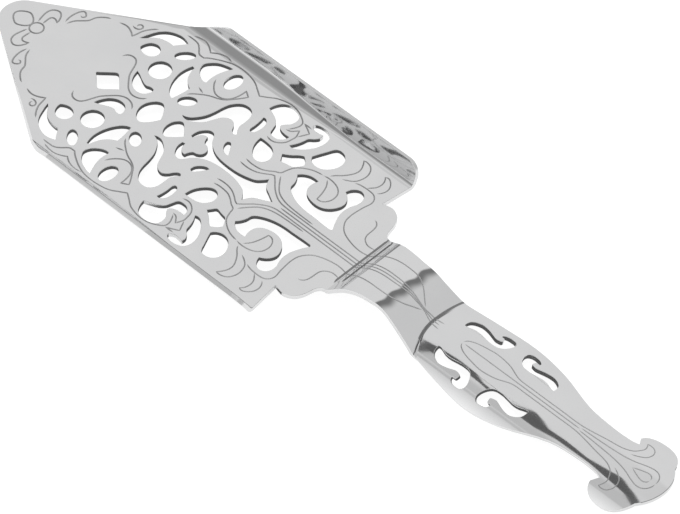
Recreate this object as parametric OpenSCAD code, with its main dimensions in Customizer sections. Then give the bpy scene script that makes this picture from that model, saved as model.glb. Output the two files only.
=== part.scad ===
// Absinthe spoon: one pierced steel sheet, folded and pressed.
// It is drawn with its tip at x = 0, its handle along +X and the blade's top face at z = 0,
// and then set down with the middle of its bounding box over the origin.

/* [Sheet] */
// Thickness of the steel sheet
sheet_t = 0.9; // [0.6:0.05:1.4]

/* [Blade] */
// Length of the blade from its tip to its rear edge
blade_l = 84.1; // [72:0.1:96]
// Width of the blade between its two fold lines
blade_w = 40.2; // [35:0.2:46]
// Angle between each nose edge and the middle line
nose_angle = 31.4; // [27:0.2:36]
// Radius of the rounded tip
tip_r = 4.7; // [3:0.1:8]
// Least metal between a hole and the blade's edge
rim = 0.35; // [0.3:0.05:1]

/* [Side walls] */
// Height of a wall along its slope, from the fold line
wall_slant = 4.2; // [3.6:0.1:6]
// Slope of the walls, in degrees above the blade
wall_angle = 65; // [50:1:80]
// Inside radius of the folds
fold_r = 0.5; // [0.3:0.1:1]
// Radius of a wall's front top corner
front_corner_r = 4; // [1:0.1:5]
// Radius of a wall's rear top corner
rear_corner_r = 2.8; // [0.5:0.1:3.5]

/* [Scrolled root] */
// Length of the flat root behind the rear edge
root_l = 5.4; // [4.5:0.1:8]
// Width across the two scrolls of the root
root_w = 27.6; // [24:0.2:31]

/* [Neck] */
// Width of the neck where it leaves the root
neck_root_w = 16.4; // [14.5:0.2:19]
// Width of the neck at its narrowest
neck_w = 12.6; // [9:0.2:14]
// Height of the bridge over the blade
bridge_h = 3.5; // [2:0.1:6]
// Length of the bridge between its two corners
bridge_l = 7; // [6:0.1:12]
// Slope of the bridge's front, in degrees
rise_angle = 36; // [28:1:45]
// Slope of the bridge's rear, in degrees
fall_angle = 29; // [22:1:40]
// Flat length in front of the crease
crease_l = 0.8; // [0.6:0.1:2]
// Top radius of the crease
crease_r = 0.8; // [0.3:0.1:1.2]
// Top radius of the bridge's front corner
bridge_front_r = 10; // [4:0.5:12]
// Top radius of the bridge's rear corner
bridge_rear_r = 7; // [2:0.1:8]
// Top radius of the crease at the foot of the rear slope
foot_r = 1.2; // [0.5:0.1:3]

/* [Handle] */
// Length of the handle from the bridge to the finial
handle_l = 42.6; // [34:0.2:56]
// Width of the grip at its widest
grip_w = 18.5; // [15:0.1:22]
// Width of the waist in front of the finial
waist_w = 9.1; // [6:0.1:12]
// Top radius of the arched cross-section
arch_r = 20; // [13:0.5:30]
// Length over which the flat neck grows into the arch
arch_l = 2.6; // [2:0.1:6]
// Metal between the start of the arch and the slots
slot_gap = 1.6; // [0.2:0.1:3]

/* [Finial] */
// Length of the finial
finial_l = 11.4; // [9:0.1:15]
// Width across the finial's two lobes
finial_w = 17.8; // [15:0.1:21]

/* [Hidden] */
$fn = 96;
steel = "silver";

// Straight steps in each stretch of a drawn curve, and in each bend
curve_steps = 4;
bend_steps = 8;
// Steps from the middle line to the shoulder's side, and along the shoulder
row_steps = 6;
ring_steps = 6;
// Overshoot of the cutting shapes
over = 5;

// Blade size that the pierced pattern was drawn for, and the pattern's own centre behind the tip
pattern_l = 84.1;
pattern_w = 40.2;
pattern_x = 38;
pattern_kx = blade_l / pattern_l;
pattern_ky = blade_w / pattern_w;

// Fold line, and the line where the flat blade ends and the fold begins
fold_y = blade_w / 2;
fold_reach = fold_r * tan(wall_angle / 2);
flat_y = fold_y - fold_reach;

// Stations along the spoon, from the tip
root_x = blade_l + root_l;
crease_x = root_x + crease_l;
bridge_front_x = crease_x + bridge_h / tan(rise_angle);
bridge_rear_x = bridge_front_x + bridge_l;
handle_x = bridge_rear_x + bridge_h / tan(fall_angle);
foot_x = handle_x + foot_r * tan(fall_angle / 2);
arch_x = foot_x + arch_l;
finial_x = handle_x + handle_l;
spoon_l = finial_x + finial_l;

// Half widths
neck_root_y = neck_root_w / 2;
neck_y = neck_w / 2;
grip_y = grip_w / 2;
waist_y = waist_w / 2;

// How much the half width grows in front of the bridge, at its foot and where the finial begins
bridge_flare = 0.7;
foot_flare = 0.6;
finial_flare = 0.15;
waist_end_y = waist_y + finial_flare;

// Radius of the arch's lower face
arch_in_r = arch_r - sheet_t;

// Curves through drawn points. A third number in a point marks a sharp corner.
function xy(p) = [p[0], p[1]];
function unit(v) = v / norm(v);
function blend(a, b, share) = a + (b - a) * share;
function flip(way, chord) = 2 * (way * chord) * chord - way;
function sharp(p, i) = len(p[i]) > 2;
function next(p, i) = (i + 1) % len(p);
function last(p, i) = (i + len(p) - 1) % len(p);
function heading(p, i) = unit(xy(p[next(p, i)]) - xy(p[last(p, i)]));

// Direction of the curve at point i, on the stretch between points i and j
function way(p, i, j, chord) =
    !sharp(p, i) ? heading(p, i)
    : sharp(p, j) ? chord
    : flip(heading(p, j), chord);

// Points of the stretch that starts at point i
function stretch(p, i) =
    let (j = next(p, i))
    let (a = xy(p[i]))
    let (b = xy(p[j]))
    let (reach = norm(b - a))
    let (chord = (b - a) / reach)
    let (leave = reach * way(p, i, j, chord))
    let (arrive = reach * way(p, j, i, chord))
    let (steps = sharp(p, i) && sharp(p, j) ? 1 : curve_steps)
    [
        for (k = [0 : steps - 1])
        let (u = k / steps)
        let (w = 1 - u)
        w * w * (1 + 2 * u) * a + u * w * w * leave + u * u * (1 + 2 * w) * b - u * u * w * arrive
    ];

// Closed curve, and open curve whose two ends are marked sharp
function loop(p) = [for (i = [0 : len(p) - 1]) each stretch(p, i)];
function path(p) = [each [for (i = [0 : len(p) - 2]) each stretch(p, i)], xy(p[len(p) - 1])];

// Control points of an ellipse with half axes a and b, turned by an angle
function ellipse(x, y, a, b, angle) = [
    for (k = [0 : 45 : 315])
    [
        x + a * cos(k) * cos(angle) - b * sin(k) * sin(angle),
        y + a * cos(k) * sin(angle) + b * sin(k) * cos(angle)
    ]
];

// A half outline above the middle line, closed by its mirror image
function corner_mark(p) = len(p) > 2 ? [p[2]] : [];
function mirrored(p) = [p[0], -p[1], each corner_mark(p)];
function both_halves(p) = concat(p, [for (i = [len(p) - 2 : -1 : 1]) mirrored(p[i])]);
function across(p) = concat(p, [for (i = [len(p) - 1 : -1 : 0]) [p[i][0], -p[i][1]]]);

// Rounded corner b of the outline a, b, c
function corner(a, b, c, r) =
    let (u = unit(a - b))
    let (v = unit(c - b))
    let (half = acos(u * v) / 2)
    let (centre = b + unit(u + v) * r / sin(half))
    let (from = b + u * r / tan(half) - centre)
    let (to = b + v * r / tan(half) - centre)
    let (turn = 180 - 2 * half)
    [
        for (k = [0 : bend_steps])
        centre + (sin(turn * (1 - k / bend_steps)) * from + sin(turn * k / bend_steps) * to) / sin(turn)
    ];

// Bend of a sheet at point i of the line of its top face: places on the line, each with its slope.
// The third number of a point is the top radius of its bend.
function slope(p, i) = atan2(p[i + 1][1] - p[i][1], p[i + 1][0] - p[i][0]);
function bend(p, i) =
    let (from = slope(p, i - 1))
    let (to = slope(p, i))
    let (side = sign(to - from))
    let (r = p[i][2])
    let (start = xy(p[i]) - r * tan(abs(to - from) / 2) * [cos(from), sin(from)])
    let (centre = start + side * r * [-sin(from), cos(from)])
    [
        for (k = [0 : bend_steps])
        let (turned = from + (to - from) * k / bend_steps)
        [centre + side * r * [sin(turned), -cos(turned)], turned]
    ];

// Places along the top face of a bent sheet, and the place under one of them on its lower face
function bent_line(p) =
    let (end = len(p) - 1)
    [
        [xy(p[0]), slope(p, 0)],
        each [for (i = [1 : end - 1]) each bend(p, i)],
        [xy(p[end]), slope(p, end - 1)]
    ];
function under(place) = place[0] + sheet_t * [sin(place[1]), -cos(place[1])];

// Outline of a bent sheet, seen along its bends
function bent_sheet(p) =
    let (places = bent_line(p))
    concat(
        [for (place = places) place[0]],
        [for (k = [len(places) - 1 : -1 : 0]) under(places[k])]
    );

// Holes of the blade above the middle line, in mm on the drawn pattern; each has a twin below it
side_holes = [
    // Long crescent along the nose edge
    [[-14.6, 11.5, 1], [-14, 13.3], [-13.2, 15], [-12, 16.2], [-10.5, 16.9], [-9, 17.1], [-7.2, 16.6, 1],
     [-8.9, 14.4, 1], [-10.3, 14.4], [-11.8, 14], [-13, 13.2], [-13.9, 12.1]],
    // Bud inside the crescent
    [[-12.9, 10, 1], [-11.9, 9.4], [-10.7, 9.3], [-9.6, 9.9], [-9.2, 11], [-9.8, 12.1], [-11, 12.5],
     [-12.2, 12], [-12.8, 11]],
    // Small crescent beside the diamond
    [[-8.9, 5.4, 1], [-8.2, 3.5], [-7, 2.3], [-5.6, 1.85], [-4.2, 2.2], [-3.4, 3.4], [-3.5, 4.2, 1],
     [-4.3, 4.3], [-5.3, 4], [-6.6, 4.4], [-7.8, 5]],
    // Sickle
    [[-2.6, 13.2, 1], [-3, 11.8], [-3.05, 10.2], [-2.6, 8.3], [-1.8, 6.7], [-0.8, 5.6], [0.3, 5.1, 1],
     [0.7, 7], [0.9, 9, 1], [-0.4, 9.8], [-1.3, 10.8], [-1.9, 12.1], [-2.1, 13.1, 1]],
    // Broad comma beside the fold
    [[3.1, 17.9, 1], [1.6, 17.6], [0.1, 17], [-1, 16], [-1.55, 14.9], [-1.1, 13.6], [0.1, 12.5],
     [1.3, 12.05], [1.95, 12.2, 1], [1.8, 13.7], [2, 15.2], [2.5, 16.7]],
    // Eye of the scroll
    ellipse(5.45, 15.65, 1.4, 2.15, 0),
    // Slanted leaves
    ellipse(-5.45, 14.1, 1.95, 1, 45),
    ellipse(2.9, 6.5, 1.8, 1.15, 42),
    // Wing that sweeps out from the middle
    [[4.7, 3.5, 1], [5.9, 3.95], [6.9, 5], [7.8, 6.5], [8.3, 8.3], [8.6, 10.1], [9.1, 11.5], [10.2, 12.8],
     [11.6, 13.25], [12.9, 12.9], [13.7, 11.8], [13.9, 10.2], [13.9, 8.8], [14.3, 7.9], [15, 7.1, 1],
     [14.5, 6.7], [13.7, 7.2], [13.1, 8.1], [12.2, 8.85], [11.2, 8.8], [10.2, 8.1], [9.5, 6.8],
     [8.7, 5.1], [7.4, 3.9], [6, 3.25]],
    // Slit beside the wing
    [[15.5, 13.3, 1], [16.3, 13.2], [17, 12.2], [17.1, 10.7], [16.7, 9.5], [15.9, 9.4], [15.8, 11],
     [15.7, 12.3]],
    // Hook whose tail turns towards the middle
    [[14.6, 15.7, 1], [15, 17.1], [15.8, 18.2], [17.2, 18.7], [18.7, 18.6], [19.9, 18], [20.35, 16.9],
     [20.1, 15.6], [19.4, 14.8], [19, 14.2, 1], [19.4, 13.55], [20.4, 13.15], [22.1, 13.1, 1], [21.9, 12.2],
     [21.2, 11.5], [20.2, 11.25], [19.1, 11.5], [18.65, 12.5], [18.2, 13.7], [17.2, 14.6], [16, 15.15]],
    // Hook whose head turns along the fold
    [[23.6, 11.8, 1], [24.3, 13], [24.7, 14.2], [24.95, 15.2], [25.8, 16], [26.3, 16.8], [26.2, 17.7, 1],
     [25.2, 17.5], [24.2, 17.5], [23.4, 18.1], [23.7, 18.7], [24.9, 19], [26.3, 18.8], [27.4, 18.1],
     [27.8, 16.7], [27.5, 15], [26.8, 13.7], [25.7, 12.4], [24.6, 11.7]],
    // Bean
    [[28.4, 12.7, 1], [29.2, 11.8], [30.4, 11.45], [31.7, 11.75], [32.8, 12.7], [33.5, 14.1], [33.5, 15.6],
     [32.7, 16.7], [31.5, 17.15], [30.4, 16.9], [29.5, 15.2]],
    // Round leaf
    [[18.65, 9.45, 1], [20.2, 9.45], [21.6, 9.2], [22.7, 8.5], [23.4, 7.2], [23.2, 5.9], [22.2, 5.1],
     [21, 5.2], [19.9, 6.1], [19.1, 7.3], [18.75, 8.4]],
    // Lozenge
    [[24.15, 9.4, 1], [25.5, 10.3], [26.6, 11.3], [27.3, 11.7, 1], [28.2, 11.1], [28.9, 10.2, 1],
     [28.3, 9.1], [27.6, 8.4, 1], [26.4, 8.2], [25.2, 8], [24.7, 8.6]],
    // Drop beside the long middle slot
    [[15.1, 4.6, 1], [15.7, 4.8], [16.4, 4.1], [17.1, 3.1], [17.5, 2.35, 1], [16.7, 2.35], [15.8, 2.9],
     [15.2, 3.7]],
    // Great scroll round its lobe
    [[29.6, 7.75, 1], [30.4, 8.6], [31.6, 9.15], [33.4, 9.15, 1], [33.05, 7.6], [33.4, 6.3], [34.4, 5.4],
     [36.3, 4.9], [38.1, 5.1], [39.5, 6], [40.4, 7.4], [40.55, 8.7], [39.9, 9.9], [38.65, 10.8, 1],
     [39, 11.8], [39.8, 12.6], [40.6, 12.8], [41.6, 12.4], [42.2, 11.4], [42.2, 10.2], [41.7, 8.8],
     [41.5, 7.4], [41.7, 6], [42.3, 4.5], [43.2, 2.8, 1], [42.8, 2.5], [39, 2.6], [36, 2.7], [33.8, 3.15],
     [32, 3.9], [30.9, 4.8], [30.65, 6], [30.2, 7]]
];

// Round hole above the middle line: its place and radius
bead = [-6.15, 8.45];
bead_r = 2.2;

// Upper halves of the holes on the middle line
middle_holes = [
    // Diamond with eased corners
    [[-14, 0], [-13.6, 0.4], [-11.5, 2.3], [-11, 2.5], [-10.5, 2.3], [-8.4, 0.4], [-8, 0]],
    // Egg at the centre of the pattern, and the smaller one behind it
    [[-2.2, 0], [-1.5, 2], [0.05, 3], [1.4, 2.1], [2.7, 0, 1]],
    [[4.5, 0], [4.9, 1.5], [6, 2.3], [7.2, 1.5], [8.6, 0, 1]],
    // Long slot, with a three-lobed tongue at its front end
    [[14.2, 0], [14, 0.7], [13.3, 1.3], [12.5, 1.5], [12.1, 2], [11.8, 2.9, 1], [11, 2.8], [10.3, 2.1],
     [10, 1, 1], [9.45, 1.1, 1], [9.5, 2.4], [10.1, 3.6], [11, 4.3], [11.9, 4.3], [12.6, 3.6], [13.2, 2.7],
     [14.3, 1.75], [15.7, 1.05], [17.5, 0.65], [20, 0.55], [22, 0.7], [24, 1.15], [25.3, 1.7], [26.2, 2.6],
     [26.8, 3.4, 1], [27.1, 2.7], [27.8, 1.7], [29.2, 0.95], [31, 0, 1]]
];

// Scroll of the root, behind the rear edge and above the middle line, drawn for this length and width
scroll_l = 5.4;
scroll_y = 13.8;
scroll = [[-0.8, 13.4, 1], [0, 13.6], [1.3, 13.8], [2.5, 13.4], [3.5, 12.6], [4.2, 11.2], [4.5, 9.8],
          [4.8, 8.9]];

// Scroll slot of the grip, drawn for this grip: distance in front of the slots' mirror line, and height
slot_l = 42.6;
slot_w = 18.5;
slot_reach = 10.5;
slot = [[10.4, 3.2], [8.6, 3.7], [7.4, 3.8], [6, 3.6], [4.4, 3.4], [3, 3.6], [2.2, 4.2], [1.7, 5], [1.4, 5.9],
        [1.5, 6.7], [2.1, 7.2], [3.1, 7.25], [4, 7], [4.5, 6.5], [4.4, 6.2, 1], [3.8, 6.2], [3.6, 5.8],
        [3.6, 5.3], [4, 5.1], [4.8, 5], [5.8, 5.3], [6.8, 5.6], [7.8, 5.75], [8.6, 5.7], [9.7, 5.2],
        [10.3, 4.6], [10.5, 3.9]];

// Half outline of the finial behind its base, drawn for this finial
lobe_l = 11.4;
lobe_w = 17.8;
lobes = [[1.1, 5.05, 1], [0.2, 6.4, 1], [0.7, 7.6], [1.9, 8.5], [3.5, 8.9], [5.2, 8.85], [6.9, 8.2],
         [8.1, 7.1], [8.8, 6], [9.2, 5.1, 1], [10.2, 3.9], [10.9, 2.6], [11.3, 1.2], [11.4, 0]];

// Side edge of the neck and handle
side_edge = path([
    [root_x, neck_root_y, 1],
    [bridge_front_x, neck_y + bridge_flare],
    [bridge_rear_x, neck_y],
    [handle_x, neck_y + foot_flare],
    [blend(handle_x, finial_x, 0.2), blend(neck_y, grip_y, 0.72)],
    [blend(handle_x, finial_x, 0.38), grip_y],
    [blend(handle_x, finial_x, 0.555), blend(waist_y, grip_y, 0.75)],
    [blend(handle_x, finial_x, 0.755), blend(waist_y, grip_y, 0.14)],
    [blend(handle_x, finial_x, 0.9), waist_y],
    [finial_x, waist_end_y, 1]
]);

// Outline of the finial
lobe_kx = finial_l / lobe_l;
lobe_ky = finial_w / lobe_w;
finial_half = [
    [finial_x, waist_end_y, 1],
    each [for (p = lobes) [finial_x + p[0] * lobe_kx, p[1] * lobe_ky, each corner_mark(p)]]
];
finial_edge = loop(concat(finial_half, [for (i = [len(finial_half) - 2 : -1 : 0]) mirrored(finial_half[i])]));

// Lowest point: the under edge of the arch at its widest
widest_y = max([for (p = concat(side_edge, finial_edge)) p[1]]);
low_z = sqrt(arch_in_r * arch_in_r - widest_y * widest_y) - arch_r;

// Place of a nose edge at a height over the middle line, moved inwards by an inset
function nose_x(y, inset) = tip_r + (y * cos(nose_angle) - tip_r + inset) / sin(nose_angle);

// Tip and nose edges up to the line where the fold begins
function nose(inset) = concat(
    [
        for (k = [0 : bend_steps])
        let (turn = (90 - nose_angle) * k / bend_steps)
        [tip_r - (tip_r - inset) * cos(turn), (tip_r - inset) * sin(turn)]
    ],
    [[nose_x(flat_y - inset, inset), flat_y - inset]]
);

// Pattern point on the blade
function on_blade(p) = [(p[0] + pattern_x) * pattern_kx, p[1] * pattern_ky];

// Sets the spoon down with the middle of its bounding box over the origin
module set_down() {
    translate([-spoon_l / 2, 0, -low_z]) children();
}

// Makes a shape and its twin across the middle line
module twins() {
    for (side = [0, 1]) mirror([0, side, 0]) children();
}

module blade_plan() {
    scroll_kx = root_l / scroll_l;
    scroll_ky = root_w / 2 / scroll_y;
    root_edge = path([
        each [for (p = scroll) [blade_l + p[0] * scroll_kx, p[1] * scroll_ky, each corner_mark(p)]],
        [root_x, neck_root_y, 1]
    ]);
    polygon(across(concat(nose(0), [[blade_l, flat_y]], root_edge)));
}

module blade_holes() {
    twins() {
        for (hole = side_holes) polygon([for (p = loop(hole)) on_blade(p)]);
        translate(on_blade(bead)) circle(bead_r * min(pattern_kx, pattern_ky));
    }
    for (hole = middle_holes) polygon([for (p = loop(both_halves(hole))) on_blade(p)]);
}

module blade() {
    color(steel) set_down() translate([0, 0, -sheet_t]) linear_extrude(sheet_t) difference() {
        blade_plan();
        intersection() {
            blade_holes();
            polygon(across(concat(nose(rim), [[blade_l - rim, flat_y - rim]])));
        }
    }
}

// Outline of a wall on its own sloping plane, from below the fold up to its rounded top corners
module wall_outline() {
    front = [nose_x(fold_y + fold_reach, 0), fold_reach];
    front_top = [nose_x(fold_y + wall_slant, 0), wall_slant];
    rear_top = [blade_l, wall_slant];
    rear = [blade_l, -over];
    cut_x = nose_x(flat_y, 0);
    polygon(concat(
        [[cut_x, -over], [cut_x, -fold_reach * cos(wall_angle)], front],
        corner(front, front_top, rear_top, front_corner_r),
        corner(front_top, rear_top, rear, rear_corner_r),
        [rear]
    ));
}

module wall() {
    top_y = fold_y + wall_slant * cos(wall_angle);
    top_z = wall_slant * sin(wall_angle);
    color(steel) intersection() {
        rotate([90, 0, 90]) linear_extrude(blade_l)
            polygon(bent_sheet([[flat_y, 0], [fold_y, 0, fold_r], [top_y, top_z]]));
        translate([0, fold_y, 0]) rotate([wall_angle, 0, 0])
            linear_extrude(4 * over, center = true) wall_outline();
    }
}

module left_wall() {
    set_down() wall();
}

module right_wall() {
    set_down() mirror([0, 1, 0]) wall();
}

// Plan of the neck and handle, as tall as the arch and the bridge need
module tail_plan() {
    translate([0, 0, -arch_r]) linear_extrude(arch_r + bridge_h + over) polygon(across(side_edge));
}

// Round bar along the handle, from one station to another
module bar(r, from_x, to_x) {
    translate([from_x, 0, -arch_r]) rotate([0, 90, 0]) cylinder(r = r, h = to_x - from_x);
}

module arched_sheet(from_x, to_x) {
    difference() {
        bar(arch_r, from_x, to_x);
        bar(arch_in_r, from_x - over, to_x + over);
    }
}

module neck() {
    line = [
        [root_x, 0],
        [crease_x, 0, crease_r],
        [bridge_front_x, bridge_h, bridge_front_r],
        [bridge_rear_x, bridge_h, bridge_rear_r],
        [handle_x, 0, foot_r],
        [foot_x, 0]
    ];
    color(steel) set_down() intersection() {
        rotate([90, 0, 0]) linear_extrude(neck_root_w + grip_w, center = true) polygon(bent_sheet(line));
        tail_plan();
    }
}

// Row of points across the shoulder on one of its faces, which grows into an arch of radius r
function arch_drop(r, y) = r - sqrt(r * r - y * y);
function shoulder_row(x, top_z, r) =
    let (half = lookup(x, side_edge))
    let (share = (x - foot_x) / (arch_x - foot_x))
    [
        for (k = [-row_steps : row_steps])
        let (y = half * k / row_steps)
        [x, y, top_z - share * arch_drop(r, y)]
    ];

// Ring round the shoulder at a station: the upper face one way and the lower face back
function shoulder_ring(x) =
    let (low = shoulder_row(x, -sheet_t, arch_in_r))
    concat(shoulder_row(x, 0, arch_r), [for (k = [len(low) - 1 : -1 : 0]) low[k]]);

// Two triangles for the four corners of a face, which turn clockwise seen from outside
function halves(a, b, c, d) = [[a, b, c], [a, c, d]];

module shoulder() {
    rings = [for (k = [0 : ring_steps]) shoulder_ring(blend(foot_x, arch_x, k / ring_steps))];
    count = len(rings[0]);
    end = ring_steps * count;
    color(steel) set_down() polyhedron(
        [for (ring = rings) each ring],
        concat(
            [
                for (i = [0 : ring_steps - 1])
                for (k = [0 : count - 1])
                let (j = (k + 1) % count)
                each halves(i * count + k, i * count + j, (i + 1) * count + j, (i + 1) * count + k)
            ],
            [
                for (k = [0 : 2 * row_steps - 1])
                let (j = count - 1 - k)
                each concat(halves(k, j, j - 1, k + 1), halves(end + k, end + k + 1, end + j - 1, end + j))
            ]
        )
    );
}

module grip_slots() {
    slot_k = handle_l / slot_l;
    middle_x = arch_x + slot_gap + slot_reach * slot_k;
    twins() for (side = [-1, 1])
        polygon([for (p = loop(slot)) [middle_x + side * p[0] * slot_k, p[1] * grip_w / slot_w]]);
}

module handle() {
    color(steel) set_down() difference() {
        intersection() {
            arched_sheet(arch_x, finial_x);
            tail_plan();
        }
        translate([0, 0, -arch_r]) linear_extrude(arch_r + over) grip_slots();
    }
}

module finial() {
    color(steel) set_down() intersection() {
        arched_sheet(finial_x, spoon_l + over);
        translate([0, 0, -arch_r]) linear_extrude(arch_r + over) polygon(finial_edge);
    }
}

blade();
left_wall();
right_wall();
neck();
shoulder();
handle();
finial();
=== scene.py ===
"""Absinthe spoon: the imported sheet, dressed with rounded rims, engraved lines and polished steel."""

import math

import bpy
import numpy as np
from mathutils import Matrix, Vector
from mathutils.geometry import delaunay_2d_cdt


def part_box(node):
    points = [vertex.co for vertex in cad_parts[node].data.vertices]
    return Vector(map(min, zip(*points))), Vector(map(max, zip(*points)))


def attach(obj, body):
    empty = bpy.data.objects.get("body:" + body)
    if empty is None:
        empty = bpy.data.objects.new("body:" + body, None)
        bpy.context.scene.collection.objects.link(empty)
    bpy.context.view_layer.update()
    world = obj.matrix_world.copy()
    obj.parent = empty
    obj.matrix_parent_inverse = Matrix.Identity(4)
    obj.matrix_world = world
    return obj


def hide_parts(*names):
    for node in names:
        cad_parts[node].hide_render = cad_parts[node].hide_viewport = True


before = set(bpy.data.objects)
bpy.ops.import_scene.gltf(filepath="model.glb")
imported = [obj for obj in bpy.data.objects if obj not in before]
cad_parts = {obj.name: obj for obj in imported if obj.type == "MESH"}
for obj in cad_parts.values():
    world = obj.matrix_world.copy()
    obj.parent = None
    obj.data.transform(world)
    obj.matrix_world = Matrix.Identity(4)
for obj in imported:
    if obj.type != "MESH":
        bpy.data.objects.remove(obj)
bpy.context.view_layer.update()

# Lengths below are in mm. The drawing has the blade's tip at x = 0 and its upper face at z = 0.
MM = 0.001
NODES = ["blade", "left_wall", "right_wall", "neck", "shoulder", "handle", "finial"]
tip = np.array([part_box("blade")[0].x, 0.0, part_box("blade")[1].z])


def in_mm(corner):
    """A corner of a node's box, in the drawing."""
    return (np.array(corner) - tip) / MM


# Sizes of the sheet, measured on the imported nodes
sheet_t = -in_mm(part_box("blade")[0])[2]
flat_y = in_mm(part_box("blade")[1])[1]
root_x = in_mm(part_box("neck")[0])[0]
foot_x = in_mm(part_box("shoulder")[0])[0]
bridge_h = in_mm(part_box("neck")[1])[2]
blade_l = in_mm(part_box("left_wall")[1])[0]
wall_top = in_mm(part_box("left_wall")[1])[2]

# Sizes of the bends, as the sheet was folded and pressed.
# The fold of a wall is wide at the front and sharp at the rear. Its corner is where the blade's face and the
# wall's face would meet, and the reaches go from there to the rim, on the wall and on the unfolded sheet.
cad_fold_r = 0.5
cad_turn = math.radians(65)
cad_tangent = cad_fold_r * math.tan(cad_turn / 2)
left_turn = math.radians(68)
right_turn = math.radians(63)
fold_front_r = 3.6
fold_rear_r = 0.8
fold_front_x = 46
fold_rear_x = 72
corner_y = flat_y + cad_tangent
wall_reach = wall_top / math.sin(cad_turn)
sheet_reach = cad_fold_r * cad_turn + wall_reach - 2 * cad_tangent

# Crease behind the blade, and the slopes and bends of the bridge, seen from the side
crease_l = 0.8
crease_r = 0.8
rise = math.radians(36)
fall = math.radians(29)
bridge_l = 7
bridge_front_r = 10
bridge_rear_r = 7
crease_x = root_x + crease_l
bridge_front_x = crease_x + bridge_h / math.tan(rise)
bridge_rear_x = bridge_front_x + bridge_l

# The rear bend of the bridge is skewed by a slope across the sheet, and rippled by a tilt along it.
# Its foot is eased into the arch of the handle. On the left side the arch starts with a share of its height
# and grows into the rest.
skew = 0.07
skew_from = -6
ripple_tilt = 0.05
ripple_length = 3.6
ripple_reach = 3
foot_ease = 0.3
arch_r = 20
left_start = 0.3
left_growth = 6

# Finish of the metal: rounding of the rims, and the engraver's lines.
# The lines are heavier at the tip than on the handle, by shares of their width at places along the pattern.
rim_r = 0.09
groove_half = 0.135
groove_depth = 0.09
groove_taper = 0.7
groove_places = [-20, 40, 80]
groove_shares = [1.3, 1, 0.8]
line_step = 0.45
pattern_x = 38

# Where the middle lobe of the finial begins, along and across the sheet; its rim gets a painted shade line
lobe_from = (155, -4.4)

# Outline points of two nodes that are nearer than the weld gap are one point, and so are points of the net
# that are nearer than the net gap. The lines along the folds run on behind the walls by the margin.
weld_gap = 0.003
net_gap = 0.0001
rear_margin = 0.2

# Rows of the net: off the middle line over the neck, the foot and the arch, and beside the foot's crease.
# Steps across a fold, and places along it. Rows run past the ends of the metal by the row margin.
row_margin = 0.5
neck_rows = np.linspace(-9.5, 9.5, 39)
foot_rows = np.linspace(-8.5, 8.5, 35)
foot_gaps = np.linspace(-0.6, 0.6, 13)
arch_rows = np.linspace(-9.6, 9.6, 33)
fold_steps = 16
fold_places = 30


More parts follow.
